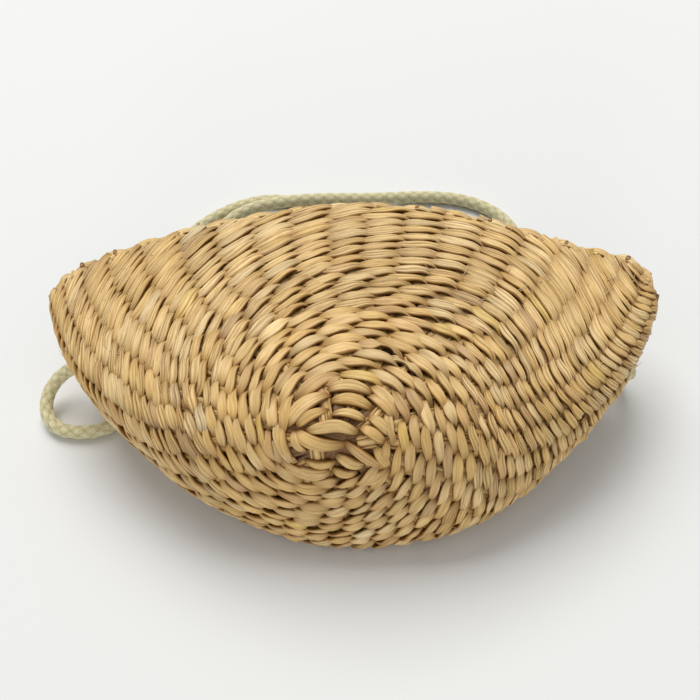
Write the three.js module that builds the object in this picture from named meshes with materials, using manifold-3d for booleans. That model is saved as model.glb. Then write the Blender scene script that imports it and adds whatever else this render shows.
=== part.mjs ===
// A twined straw shoulder bag, lying on its back panel with its woven start towards the viewer.
// Millimetres, +Z up, +X to the right, +Y from the base to the mouth. The origin is on the floor,
// under the middle of the bag without its strap.
//
// Flat straw stakes run out from a woven start in the middle of the base and up to the rim. Pairs of
// leaf weavers twine round them, row upon row: at each stake one weaver passes outside and the other
// inside, so the wall is an outer ply, the stakes and an inner ply. Stakes are added as the base widens.

import * as THREE from 'three';
import { NURBSCurve } from 'three/addons/curves/NURBSCurve.js';
import { mergeVertices } from 'three/addons/utils/BufferGeometryUtils.js';
import Module from 'manifold-3d';

// Body: three guide curves on the middle of the wall, from the woven start to the rim.
const MOUTH_WIDTH = 245; // between the two mouth corners
const CORNER_DEPTH = 61; // corners behind the woven start
const CORNER_HEIGHT = 62; // corners above the floor
const START_HEIGHT = 58; // woven start above the floor
const START_TILT = 25; // degrees that the woven start faces up
const FRONT_LIP_DEPTH = 118; // middle of the upper lip behind the woven start
const FRONT_LIP_HEIGHT = 53; // middle of the upper lip above the floor
const BACK_LIP_DEPTH = 73; // middle of the lower lip behind the woven start
const BACK_LIP_HEIGHT = 1.6; // middle of the lower lip above the floor, before the floor lifts it
const SIDE_LEAVE = 62; // curve handles: how far each guide keeps the direction it starts with
const FRONT_LEAVE = 16;
const BACK_LEAVE = 96;
const SIDE_ARRIVE = 54; // and how long it already has the direction it ends with
const FRONT_ARRIVE = 32;
const BACK_ARRIVE = 70;
const SIDE_END_ANGLE = 71; // degrees that the sides turn back towards the mouth
const FRONT_END_ANGLE = -14; // degrees that the front panel falls at its lip
const BACK_END_ANGLE = 6; // degrees that the back panel rises at its lip
const SIDE_ROUNDING = 0.3; // how softly the panels turn into each other at the sides
const FRONT_FULLNESS = 1.25; // above 1, the front panel falls away sooner from its middle
const BACK_FULLNESS = 0.7; // below 1, the back panel spreads wider on the floor
const FLOOR_BEND = 5; // how softly the back panel turns up from the floor

// Wall
const STAKES = 40;
const STAKE_WIDTH = 2.8;
const STAKE_THICKNESS = 0.8;
const PLY = 1.8; // thickness of the weaver passes over each side of the stakes
const RIB_DEPTH = 1.3; // how far the weave sinks from its ribs over the stakes to the gaps between them
const CLEARANCE = 0.3;
const START_RADIUS = 7; // tied crossing of the first stakes
const FIRST_ROUNDS_RADIUS = 22; // 10 stakes up to here, measured along a side stake
const BASE_RADIUS = 50; // 20 stakes up to here, all of them beyond
const RIM_HEIGHT = 5; // folded border over the stake ends
const RIM_OVERHANG = 0.8; // border beyond the wall on each side

// Strap: a braided cord through the back panel below each mouth corner, knotted inside.
const CORD_DIAMETER = 6;
const HOLE_CLEARANCE = 0.45; // between the cord and the weave that it comes through
const HOLE_BELOW_RIM = 13;
const HOLE_LEAN = 22; // degrees that the cord leans towards the mouth as it comes out
const HOLE_STAKE_GAP = 2; // stake gaps from the corner stake down to the hole
const KNOT_DIAMETER = 14;
const KNOT_LENGTH = 11;
const KNOT_SEAT = 2; // knot off the hollow of the wall behind it
const CORD_STRAIGHT = 9; // straight run out of each hole
const CORD_STEPS = 80;
const CORD_SIDES = 10;

const STRAW = 0xcda86c;
const STRAW_PALE = 0xd8bb84;
const STRAW_DARK = 0xb08a52;
const COTTON = 0xb9b28c;

const WALL = STAKE_THICKNESS + 2 * (CLEARANCE + PLY);
const radians = THREE.MathUtils.degToRad;

function guideCurve(leaveDirection, leave, end, arriveDirection, arrive) {
  const start = new THREE.Vector3(0, 0, START_HEIGHT);
  const first = start.clone().addScaledVector(leaveDirection, leave);
  const last = end.clone().addScaledVector(arriveDirection, -arrive);
  return new THREE.CubicBezierCurve3(start, first, last, end);
}

const upTheStart = new THREE.Vector3(0, Math.sin(radians(START_TILT)), Math.cos(radians(START_TILT)));
const alongSide = new THREE.Vector3(Math.cos(radians(SIDE_END_ANGLE)), Math.sin(radians(SIDE_END_ANGLE)), 0);
const frontEnd = radians(FRONT_END_ANGLE);
const alongFront = new THREE.Vector3(0, Math.cos(frontEnd), Math.sin(frontEnd));
const alongBack = new THREE.Vector3(0, Math.cos(radians(BACK_END_ANGLE)), Math.sin(radians(BACK_END_ANGLE)));

const sideGuide = guideCurve(
  new THREE.Vector3(1, 0, 0),
  SIDE_LEAVE,
  new THREE.Vector3(MOUTH_WIDTH / 2, CORNER_DEPTH, CORNER_HEIGHT),
  alongSide,
  SIDE_ARRIVE,
);
const frontGuide = guideCurve(
  upTheStart,
  FRONT_LEAVE,
  new THREE.Vector3(0, FRONT_LIP_DEPTH, FRONT_LIP_HEIGHT),
  alongFront,
  FRONT_ARRIVE,
);
const backGuide = guideCurve(
  upTheStart.clone().negate(),
  BACK_LEAVE,
  new THREE.Vector3(0, BACK_LIP_DEPTH, BACK_LIP_HEIGHT),
  alongBack,
  BACK_ARRIVE,
);

// Height over the floor of a wall that would sink to the given height: 0 well below the floor, as it
// was well above it, and a smooth bend between.
function restingHeight(height) {
  const bend = THREE.MathUtils.clamp(height + FLOOR_BEND, 0, 2 * FLOOR_BEND);
  return bend ** 2 / (4 * FLOOR_BEND) + Math.max(height - FLOOR_BEND, 0);
}

// Point on the middle of the wall. turn goes round the bag from its right corner over the front
// panel; reach goes from 0 at the woven start to 1 at the rim. The back panel lies flat on the floor.
function wallPoint(turn, reach) {
  const side = sideGuide.getPointAt(reach);
  const front = frontGuide.getPointAt(reach);
  const back = backGuide.getPointAt(reach);
  const rise = Math.sin(turn);
  const soft = Math.hypot(rise, SIDE_ROUNDING);
  const full = Math.hypot(1, SIDE_ROUNDING) + 1;
  const grown = THREE.MathUtils.smoothstep(reach, 0, 0.6);
  const frontShare = ((soft + rise) / full) ** THREE.MathUtils.lerp(1, FRONT_FULLNESS, grown);
  const backShare = ((soft - rise) / full) ** THREE.MathUtils.lerp(1, BACK_FULLNESS, grown);
  const y = side.y + (front.y - side.y) * frontShare + (back.y - side.y) * backShare;
  const z = side.z + (front.z - side.z) * frontShare + (back.z - side.z) * backShare;
  return new THREE.Vector3(side.x * Math.cos(turn), y, WALL / 2 + restingHeight(z - WALL / 2));
}

// Outward direction of the wall, from the slopes along the stake and along the row.
function wallNormal(turn, reach) {
  const step = 0.004;
  const low = Math.max(reach - step, step / 2);
  const high = Math.min(reach + step, 1);
  const alongStake = wallPoint(turn, high).sub(wallPoint(turn, low));
  const alongRow = wallPoint(turn + step, reach).sub(wallPoint(turn - step, reach));
  return alongStake.cross(alongRow).normalize();
}

const stakeTurn = (stake) => (2 * Math.PI * stake) / STAKES;
const stakesEvery = (step) => Array.from({ length: STAKES / step }, (_, i) => i * step);

// One ring of the wall: the right and left edge of each stake there, as a point and a direction.
// Stakes narrow where there is too little room between them.
function wallRing(reach, stakes) {
  const roomiest = 0.42;
  const pitch = (2 * Math.PI) / stakes.length;
  return stakes.flatMap((stake) => {
    const turn = stakeTurn(stake);
    const middle = wallPoint(turn, reach);
    return [-1, 1].map((side) => {
      const room = middle.distanceTo(wallPoint(turn + side * pitch, reach));
      const edgeTurn = turn + side * pitch * Math.min(STAKE_WIDTH / 2 / room, roomiest);
      return { point: wallPoint(edgeTurn, reach), normal: wallNormal(edgeTurn, reach) };
    });
  });
}

// One ring of the weave's face: it stands up over the middle of each stake and sinks between stakes,
// but not where the floor presses it flat.
function weaveRing(reach, stakes) {
  const pitch = (2 * Math.PI) / stakes.length;
  return stakes.flatMap((stake) =>
    [0, RIB_DEPTH].map((depth, half) => {
      const turn = stakeTurn(stake) + (half * pitch) / 2;
      const point = wallPoint(turn, reach);
      const overFloor = point.z - WALL / 2;
      return { point, normal: wallNormal(turn, reach), sink: Math.min(depth, overFloor) };
    }),
  );
}

// Rings from one reach to another, with the stakes that run through all of them.
function ringBand(from, to, count, stakes) {
  const reaches = Array.from({ length: count + 1 }, (_, i) => from + ((to - from) * i) / count);
  return {
    stakes,
    rings: reaches.map((reach) => wallRing(reach, stakes)),
    weave: reaches.map((reach) => weaveRing(reach, stakes)),
  };
}

const sideLength = sideGuide.getLength();
const rowGap = CLEARANCE / frontGuide.getLength();
const startReach = START_RADIUS / sideLength;
const roundsReach = FIRST_ROUNDS_RADIUS / sideLength;
const baseReach = BASE_RADIUS / sideLength;
const firstStakes = stakesEvery(4);
const baseStakes = stakesEvery(2);
const allStakes = stakesEvery(1);
const firstRounds = ringBand(startReach, roundsReach - rowGap, 2, firstStakes);
const baseRounds = ringBand(roundsReach, baseReach - rowGap, 4, baseStakes);
const wallRounds = ringBand(baseReach, 1, 7, allStakes);

const lift = (spot, height) => spot.point.clone().addScaledVector(spot.normal, height);

// Face of the wall through rings of spots, at a height over its middle.
const face = (rings, height) => rings.map((ring) => ring.map((spot) => lift(spot, height)));

// Ribbed face of the weave, on the outer side (1) or the inner side (-1) of the wall.
const ribbedFace = (rings, side) =>
  rings.map((ring) => ring.map((spot) => lift(spot, side * (WALL / 2 - spot.sink))));

// Closed geometry from points and triangles.
function closedGeometry(points, triangles) {
  const geometry = new THREE.BufferGeometry();
  const position = new Float32Array(points.flatMap((point) => point.toArray()));
  geometry.setAttribute('position', new THREE.BufferAttribute(position, 3));
  geometry.setIndex(triangles);
  geometry.computeVertexNormals();
  return geometry;
}

// A slab of the wall between a lower and an upper face, each of as many rings of as many points. It
// either goes all the way round or has two long sides of its own.
function slabGeometry(lower, upper, goesRound) {
  const size = lower[0].length;
  const last = lower.length - 1;
  const points = [...lower.flat(), ...upper.flat()];
  const triangles = [];
  const at = (layer, ring, column) => (layer * lower.length + ring) * size + (column % size);
  const quad = (a, b, c, d) => triangles.push(a, b, c, a, c, d);
  for (let column = 0; column < (goesRound ? size : size - 1); column += 1) {
    const next = column + 1;
    for (let ring = 0; ring < last; ring += 1) {
      quad(at(1, ring, column), at(1, ring + 1, column), at(1, ring + 1, next), at(1, ring, next));
      quad(at(0, ring, column), at(0, ring, next), at(0, ring + 1, next), at(0, ring + 1, column));
    }
    quad(at(0, 0, column), at(1, 0, column), at(1, 0, next), at(0, 0, next));
    quad(at(0, last, column), at(0, last, next), at(1, last, next), at(1, last, column));
  }
  if (!goesRound) {
    const end = size - 1;
    for (let ring = 0; ring < last; ring += 1) {
      quad(at(0, ring, 0), at(0, ring + 1, 0), at(1, ring + 1, 0), at(1, ring, 0));
      quad(at(1, ring, end), at(1, ring + 1, end), at(0, ring + 1, end), at(0, ring, end));
    }
  }
  return closedGeometry(points, triangles);
}

// A stake: a flat strip between its two edges, from the first band that it runs through to the rim.
function stakeGeometry(stake, bands) {
  const edges = bands.flatMap((band) => {
    const column = 2 * band.stakes.indexOf(stake);
    return band.rings.map((ring) => ring.slice(column, column + 2));
  });
  return slabGeometry(face(edges, -STAKE_THICKNESS / 2), face(edges, STAKE_THICKNESS / 2), false);
}

// The tied crossing in the middle of the base, as thick as the whole wall.
function startGeometry() {
  const ring = wallRing(startReach - rowGap, firstStakes);
  const middle = { point: wallPoint(0, 0), normal: wallNormal(0, 0) };
  const points = [lift(middle, WALL / 2), lift(middle, -WALL / 2)];
  ring.forEach((spot) => points.push(lift(spot, WALL / 2), lift(spot, -WALL / 2)));
  const triangles = [];
  ring.forEach((_, column) => {
    const here = 2 + 2 * column;
    const next = 2 + 2 * ((column + 1) % ring.length);
    triangles.push(0, here, next);
    triangles.push(1, next + 1, here + 1);
    triangles.push(here, here + 1, next + 1, here, next + 1, next);
  });
  return closedGeometry(points, triangles);
}

// The folded border: an oval section carried round the rim, on top of the wall's edge.
function rimGeometry() {
  const sides = 8;
  const edge = wallRing(1, allStakes);
  const below = wallRing(1 - 0.02, allStakes);
  const points = [];
  const triangles = [];
  const at = (column, side) => (column % edge.length) * sides + (side % sides);
  edge.forEach((spot, column) => {
    const up = spot.point.clone().sub(below[column].point).normalize();
    for (let side = 0; side < sides; side += 1) {
      const angle = (2 * Math.PI * side) / sides;
      const height = CLEARANCE + (RIM_HEIGHT / 2) * (1 - Math.cos(angle));
      const out = (WALL / 2 + RIM_OVERHANG) * Math.sin(angle);
      points.push(lift(spot, out).addScaledVector(up, height));
      triangles.push(at(column, side), at(column, side + 1), at(column + 1, side + 1));
      triangles.push(at(column, side), at(column + 1, side + 1), at(column + 1, side));
    }
  });
  return closedGeometry(points, triangles);
}

// Strap holes, one below each corner on the back panel, in the middle of a gap between stakes.
const holeReach = 1 - HOLE_BELOW_RIM / sideLength;

function holeSpot(turn) {
  const point = wallPoint(turn, holeReach);
  const towardsRim = wallPoint(turn, 1).sub(point).normalize();
  const axis = wallNormal(turn, holeReach).multiplyScalar(Math.cos(radians(HOLE_LEAN)));
  return { point, normal: axis.addScaledVector(towardsRim, Math.sin(radians(HOLE_LEAN))).normalize() };
}

const rightHole = holeSpot(-stakeTurn(HOLE_STAKE_GAP + 0.5));
const leftHole = holeSpot(Math.PI + stakeTurn(HOLE_STAKE_GAP + 0.5));
const turnedTo = (direction) =>
  new THREE.Quaternion().setFromUnitVectors(new THREE.Vector3(0, 1, 0), direction);

const wasm = await Module();
wasm.setup();

function solidOf(geometry) {
  const bare = geometry.clone();
  bare.deleteAttribute('normal');
  bare.deleteAttribute('uv');
  const merged = mergeVertices(bare, 1e-5);
  return new wasm.Manifold(
    new wasm.Mesh({
      numProp: 3,
      vertProperties: new Float32Array(merged.attributes.position.array),
      triVerts: new Uint32Array(merged.index.array),
    }),
  );
}

function geometryOf(solid) {
  const mesh = solid.getMesh();
  const geometry = new THREE.BufferGeometry();
  geometry.setAttribute('position', new THREE.BufferAttribute(new Float32Array(mesh.vertProperties), 3));
  geometry.setIndex(new THREE.BufferAttribute(new Uint32Array(mesh.triVerts), 1));
  geometry.computeVertexNormals();
  return geometry;
}

function withStrapHoles(geometry) {
  const holeSides = 16;
  const drill = new THREE.CylinderGeometry(
    CORD_DIAMETER / 2 + HOLE_CLEARANCE,
    CORD_DIAMETER / 2 + HOLE_CLEARANCE,
    4 * WALL,
    holeSides,
  );
  let solid = solidOf(geometry);
  for (const hole of [rightHole, leftHole]) {
    const placed = drill.clone().applyQuaternion(turnedTo(hole.normal));
    placed.translate(...hole.point.toArray());
    solid = solid.subtract(solidOf(placed));
  }
  return geometryOf(solid);
}

// A stopper knot against the inside of the wall, turned about the hole's axis.
function knotGeometry() {
  const outline = new THREE.SplineCurve([
    new THREE.Vector2(KNOT_DIAMETER * 0.26, 0),
    new THREE.Vector2(KNOT_DIAMETER * 0.47, KNOT_LENGTH * 0.3),
    new THREE.Vector2(KNOT_DIAMETER * 0.47, KNOT_LENGTH * 0.7),
    new THREE.Vector2(KNOT_DIAMETER * 0.26, KNOT_LENGTH),
  ]);
  const profile = [new THREE.Vector2(0, 0), ...outline.getPoints(6), new THREE.Vector2(0, KNOT_LENGTH)];
  return new THREE.LatheGeometry(profile, 16);
}

// The strap's route between the two holes, as it lies after being put down: out of the left hole, a
// loop on the floor beside the bag, back under its edge, a loose loop behind it, and a fold that ends
// at the right hole. The points pull a smooth curve; REST is the height of the cord's middle on the floor.
const REST = CORD_DIAMETER / 2 + CLEARANCE;
const strapOnFloor = [
  [-121, 60.6, 17],
  [-128.4, 58.5, 12.2],
  [-133.1, 52.2, 8.2],
  [-133.1, 44.4, 5],
  [-128.4, 38.1, REST + 0.3],
  [-121, 35.6, REST],
  [-107, 35.8, REST],
  [-95, 45.5, REST],
  [-92.5, 62, REST],
  [-97.5, 94, REST],
  [-97.5, 126, REST],
  [-84.5, 151.5, REST],
  [-66, 168.5, REST],
  [-45, 176, REST],
  [-24, 170, REST],
  [-12.5, 153.5, REST],
  [-17.5, 134.5, REST],
  [-35, 124.5, REST],
  [-55, 128, REST],
  [-69, 141, REST],
  [-68, 157, REST + 1.5],
  [-54.5, 165, REST + 4.4],
  [-36, 167.2, REST + 6.6],
  [-17, 168.8, REST + 6.6],
  [3, 172, REST + 2.6],
  [26, 176.5, REST],
  [48, 176, REST],
  [67, 167, REST],
  [78, 149.5, REST],
  [74.5, 129.5, REST],
  [55, 118, REST],
  [10, 115, REST],
  [-48, 116, REST],
  [-66, 115, REST],
  [-75, 107, REST],
  [-75, 94, REST],
  [-66, 86, REST],
  [-48, 85, REST],
  [30, 87, REST],
  [75, 85.5, REST],
  [95, 79.5, REST],
  [106, 76, REST],
  [114, 71, 5.2],
  [118.5, 65, 10.5],
  [118.5, 60.4, 17],
];

function strapCurve() {
  const inside = -WALL / 2 - KNOT_SEAT;
  const leave = (hole) =>
    [0, 1, 2, 3].map((step) => lift(hole, inside + ((CORD_STRAIGHT - inside) * step) / 3));
  const points = [
    ...leave(leftHole),
    ...strapOnFloor.map((point) => new THREE.Vector3(...point)),
    ...leave(rightHole).reverse(),
  ];
  const degree = 3;
  const spans = points.length - degree;
  const knots = points.map((_, i) => Math.max(i - degree, 0) / spans);
  const ends = Array.from({ length: degree + 1 }, () => 1);
  const controls = points.map((point) => new THREE.Vector4(point.x, point.y, point.z, 1));
  return new NURBSCurve(degree, [...knots, ...ends], controls);
}

function strapGeometry() {
  const section = new THREE.Shape();
  for (let side = 0; side < CORD_SIDES; side += 1) {
    const angle = (2 * Math.PI * side) / CORD_SIDES;
    const x = (CORD_DIAMETER / 2) * Math.cos(angle);
    const y = (CORD_DIAMETER / 2) * Math.sin(angle);
    if (side === 0) {
      section.moveTo(x, y);
    } else {
      section.lineTo(x, y);
    }
  }
  return new THREE.ExtrudeGeometry(section, { steps: CORD_STEPS, extrudePath: strapCurve() });
}

const strawMaterial = (color) => new THREE.MeshStandardMaterial({ color, roughness: 0.75, metalness: 0 });
const cottonMaterial = new THREE.MeshStandardMaterial({ color: COTTON, roughness: 0.95, metalness: 0 });
const outerStraw = strawMaterial(STRAW);
const innerStraw = strawMaterial(STRAW_PALE);
const stakeStraw = strawMaterial(STRAW_DARK);

const bag = new THREE.Group();

function addPiece(name, geometry, material) {
  const mesh = new THREE.Mesh(geometry, material);
  mesh.name = name;
  bag.add(mesh);
  return mesh;
}

const innerFace = STAKE_THICKNESS / 2 + CLEARANCE;
const outerPly = (band) => slabGeometry(face(band.rings, innerFace), ribbedFace(band.weave, 1), true);
const innerPly = (band) => slabGeometry(ribbedFace(band.weave, -1), face(band.rings, -innerFace), true);

addPiece('woven_start', startGeometry(), outerStraw);
addPiece('first_rounds_outer', outerPly(firstRounds), outerStraw);
addPiece('first_rounds_inner', innerPly(firstRounds), innerStraw);
addPiece('base_weave_outer', outerPly(baseRounds), outerStraw);
addPiece('base_weave_inner', innerPly(baseRounds), innerStraw);
addPiece('wall_weave_outer', withStrapHoles(outerPly(wallRounds)), outerStraw);
addPiece('wall_weave_inner', withStrapHoles(innerPly(wallRounds)), innerStraw);

// Every fourth stake starts at the woven start, the ones halfway between where the base starts, and
// the rest where the wall starts.
for (const stake of allStakes) {
  const bands = [firstRounds, baseRounds, wallRounds].filter((band) => band.stakes.includes(stake));
  const number = String(stake + 1).padStart(2, '0');
  addPiece(`stake_${number}`, stakeGeometry(stake, bands), stakeStraw);
}

addPiece('rim_border', rimGeometry(), outerStraw);

for (const [name, hole] of Object.entries({ left_strap_knot: leftHole, right_strap_knot: rightHole })) {
  const knot = addPiece(name, knotGeometry(), cottonMaterial);
  knot.quaternion.copy(turnedTo(hole.normal.clone().negate()));
  knot.position.copy(lift(hole, -WALL / 2 - KNOT_SEAT - CLEARANCE));
}

const bagOnly = new THREE.Box3().setFromObject(bag);
addPiece('strap_cord', strapGeometry(), cottonMaterial);

// The middle of the bag without its strap comes over the origin.
bag.position.y = -(bagOnly.min.y + bagOnly.max.y) / 2;

const part = new THREE.Group();
part.add(bag);

export default part;
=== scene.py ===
import bpy
import mathutils
import numpy as np
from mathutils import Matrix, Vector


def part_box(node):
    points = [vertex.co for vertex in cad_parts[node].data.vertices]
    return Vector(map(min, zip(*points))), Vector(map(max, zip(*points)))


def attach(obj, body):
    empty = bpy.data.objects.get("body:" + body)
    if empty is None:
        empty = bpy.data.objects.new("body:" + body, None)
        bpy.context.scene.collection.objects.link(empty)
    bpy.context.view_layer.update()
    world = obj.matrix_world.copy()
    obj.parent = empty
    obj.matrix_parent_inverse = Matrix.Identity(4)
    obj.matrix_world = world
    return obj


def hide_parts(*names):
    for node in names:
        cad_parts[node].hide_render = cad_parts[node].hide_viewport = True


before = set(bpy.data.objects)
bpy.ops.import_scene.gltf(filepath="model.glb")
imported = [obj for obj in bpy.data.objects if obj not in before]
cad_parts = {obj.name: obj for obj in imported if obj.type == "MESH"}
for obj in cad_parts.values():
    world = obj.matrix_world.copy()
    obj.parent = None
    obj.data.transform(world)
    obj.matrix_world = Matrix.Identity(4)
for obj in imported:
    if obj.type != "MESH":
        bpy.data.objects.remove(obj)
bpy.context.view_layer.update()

# Woven start
# The first stakes cross in the middle of the base, and the weavers swirl round the crossing: long folded
# strips of split leaf, each tucked under the next. They lie on the bag's one rounded surface, which runs
# from here to the mouth and is pressed flat by the floor under the back panel.
MM = 0.001
FRAME_SHIFT = -53.187  # where the woven start lies in the frame, along y
WALL = 5.0
MOUTH_WIDTH = 245.0
CORNER_DEPTH = 61.0  # depths are measured back from the woven start, heights up from the floor
CORNER_HEIGHT = 62.0
START_HEIGHT = 58.0
START_TILT = 25  # degrees that the woven start faces up
FRONT_LIP_DEPTH = 118.0
FRONT_LIP_HEIGHT = 53.0
BACK_LIP_DEPTH = 73.0
BACK_LIP_HEIGHT = 1.6
SIDE_LEAVE = 62  # how far each guide keeps the direction it starts with
FRONT_LEAVE = 16
BACK_LEAVE = 96
SIDE_ARRIVE = 54  # and how long it already has the direction it ends with
FRONT_ARRIVE = 32
BACK_ARRIVE = 70
SIDE_END_ANGLE = 71
FRONT_END_ANGLE = -14
BACK_END_ANGLE = 6
PAST_RIM = 0.1  # share of its length by which each guide runs on past the rim
SIDE_ROUNDING = 0.3  # how softly the panels turn into each other at the sides
PANELS_FORMED = 0.6  # reach at which the panels have their full shape
FRONT_FALL = 0.25  # how much sooner the front panel falls away from its middle
BACK_SPREAD = 0.3  # how much wider the back panel spreads on the floor
FLOOR_BEND = 5.0  # how softly the back panel turns up from the floor
SLACK = ((324, 3.4, -3.6), (236, 2.0, 3.4))  # turn in degrees, millimetres across and back
SLACK_SPREAD = 23
SLACK_REACH = 0.62
SLACK_LENGTH = 0.3
LONGEST_STAKE = 175
GUIDE_POINTS = 1201
TABLE_TURNS = 361
TABLE_REACHES = 331
LEAST_REACH = 0.004


def guide_table(start, leave, arrive, end):
    """Cubic Bezier curve of four control points, as shares of its length and the points there, carried
    on straight past its end."""
    t = np.linspace(0, 1, GUIDE_POINTS)[:, None]
    curve = start * (1 - t) ** 3 + 3 * leave * t * (1 - t) ** 2 + 3 * arrive * t**2 * (1 - t) + end * t**3
    step = np.linalg.norm(np.diff(curve, axis=0), axis=1)
    share = np.concatenate([[0], np.cumsum(step)]) / step.sum()
    past = end + (end - arrive) / np.linalg.norm(end - arrive) * step.sum() * PAST_RIM
    return np.append(share, 1 + PAST_RIM), np.vstack([curve, past])


def slope(degrees):
    """Unit vector in the plane of y and z at that angle above the y axis."""
    return np.array([0, np.cos(np.radians(degrees)), np.sin(np.radians(degrees))])


start = np.array([0, 0, START_HEIGHT])
up_the_start = slope(90 - START_TILT)
along_side = np.array([np.cos(np.radians(SIDE_END_ANGLE)), np.sin(np.radians(SIDE_END_ANGLE)), 0])
mouth_corner = np.array([MOUTH_WIDTH / 2, CORNER_DEPTH, CORNER_HEIGHT])
front_lip = np.array([0, FRONT_LIP_DEPTH, FRONT_LIP_HEIGHT])
back_lip = np.array([0, BACK_LIP_DEPTH, BACK_LIP_HEIGHT])
side_guide = guide_table(
    start, start + [SIDE_LEAVE, 0, 0], mouth_corner - SIDE_ARRIVE * along_side, mouth_corner
)
front_guide = guide_table(
    start, start + FRONT_LEAVE * up_the_start, front_lip - FRONT_ARRIVE * slope(FRONT_END_ANGLE), front_lip
)
back_guide = guide_table(
    start, start - BACK_LEAVE * up_the_start, back_lip - BACK_ARRIVE * slope(BACK_END_ANGLE), back_lip
)


def follow(guide, reach):
    """Points of a guide at shares of its length."""
    return np.stack([np.interp(reach, guide[0], guide[1][:, axis]) for axis in range(3)], -1)


def degrees_from(turn, degrees):
    """Degrees from a fixed turn to each turn, the shorter way round."""
    return (np.degrees(turn) - degrees + 180) % 360 - 180


def wall_point(turn, reach):
    """Middle of the wall, in millimetres: the side guide turned round the start, drawn to the front
    guide and to the back guide by shares that grow with the sine of the turn, moved a little where the
    soft wall is full or slack, and bent up smoothly where the floor is."""
    turn, reach = np.broadcast_arrays(turn, reach)
    side, front, back = (follow(guide, reach) for guide in (side_guide, front_guide, back_guide))
    rise = np.sin(turn)
    soft = np.hypot(rise, SIDE_ROUNDING)
    full = np.hypot(1, SIDE_ROUNDING) + 1
    grown = np.clip(reach / PANELS_FORMED, 0, 1)
    grown = grown * grown * (3 - 2 * grown)
    to_front = ((soft + rise) / full) ** (1 + FRONT_FALL * grown)
    to_back = ((soft - rise) / full) ** (1 - BACK_SPREAD * grown)
    point = side + (front - side) * to_front[..., None] + (back - side) * to_back[..., None]
    point[..., 0] = side[..., 0] * np.cos(turn)
    for degrees, across, along in SLACK:
        apart = degrees_from(turn, degrees) / SLACK_SPREAD
        share = np.exp(-(apart**2) - ((reach - SLACK_REACH) / SLACK_LENGTH) ** 2)
        point += share[..., None] * [across, along, 0]
    height = point[..., 2] - WALL / 2
    bend = np.clip(height + FLOOR_BEND, 0, 2 * FLOOR_BEND) ** 2 / (4 * FLOOR_BEND)
    point[..., 2] = WALL / 2 + bend + np.maximum(height - FLOOR_BEND, 0)
    point[..., 1] += FRAME_SHIFT
    return point


# Reach of each distance from the start, in steps of one millimetre at turns one degree apart
table_turn = np.radians(np.arange(TABLE_TURNS))
table_reach = np.linspace(0, 1 + PAST_RIM, TABLE_REACHES)
table_path = wall_point(table_turn[:, None], table_reach[None, :])
table_step = np.linalg.norm(np.diff(table_path, axis=1), axis=2)
table_length = np.concatenate([np.zeros((TABLE_TURNS, 1)), np.cumsum(table_step, axis=1)], axis=1)
reach_table = np.array([np.interp(np.arange(LONGEST_STAKE + 1), row, table_reach) for row in table_length])


def reach_at(turn, distance):
    """Reach of a point that lies a distance along the stake at that turn, from the table."""
    degrees = np.degrees(turn) % 360
    column = np.clip(degrees.astype(int), 0, TABLE_TURNS - 2)
    row = np.clip(distance, 0, LONGEST_STAKE - 0.01)
    low = row.astype(int)
    part, rest = degrees - column, row - low
    near = reach_table[column, low] * (1 - rest) + reach_table[column, low + 1] * rest
    far = reach_table[column + 1, low] * (1 - rest) + reach_table[column + 1, low + 1] * rest
    return near * (1 - part) + far * part


def on_bag(turn, distance):
    """Points of the middle of the wall and its outward unit normals, in millimetres, at turns and at
    distances from the start along the stakes. The normal is across the slopes along stake and row."""
    turn, distance = np.broadcast_arrays(np.asarray(turn, float), np.asarray(distance, float))
    reach = np.maximum(reach_at(turn, distance), LEAST_REACH)
    nudge = LEAST_REACH / 2
    point = wall_point(turn, reach)
    outwards = wall_point(turn, reach + nudge) - wall_point(turn, reach - nudge)
    sideways = wall_point(turn + nudge, reach) - wall_point(turn - nudge, reach)
    normal = np.cross(outwards, sideways)
    return point, normal / np.linalg.norm(normal, axis=-1, keepdims=True)


def on_start(across, up):
    """Points and normals of the bag near the start, from places across and up the base."""
    return on_bag(np.arctan2(up, across), np.hypot(across, up))


# Strands of leaf: the points round one, its arch, and how much painted shade darkens its edges and folds
OUTER_POINTS = 13
INNER_ANGLES = np.pi * np.array([1.25, 1.5, 1.75])
ARCH_HEIGHT = 1.5  # in half thicknesses, as are the next two
ARCH_FOOT = 0.5
INNER_BULGE = 0.6
PATTERN_SCALE = 0.1
# Painted shade: the edges and lengthwise folds of each strand are darkened as if in shadow
EDGE_PAINTED_SHADE = np.array([0.7, 0.84, 1.0])
EDGE_DARKNESS = 1.25
FOLD_DARKNESS = 2.4


def run_along(path):
    """Distance travelled at each point of a path."""
    return np.concatenate([[0], np.cumsum(np.linalg.norm(np.diff(path, axis=0), axis=1))])


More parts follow.
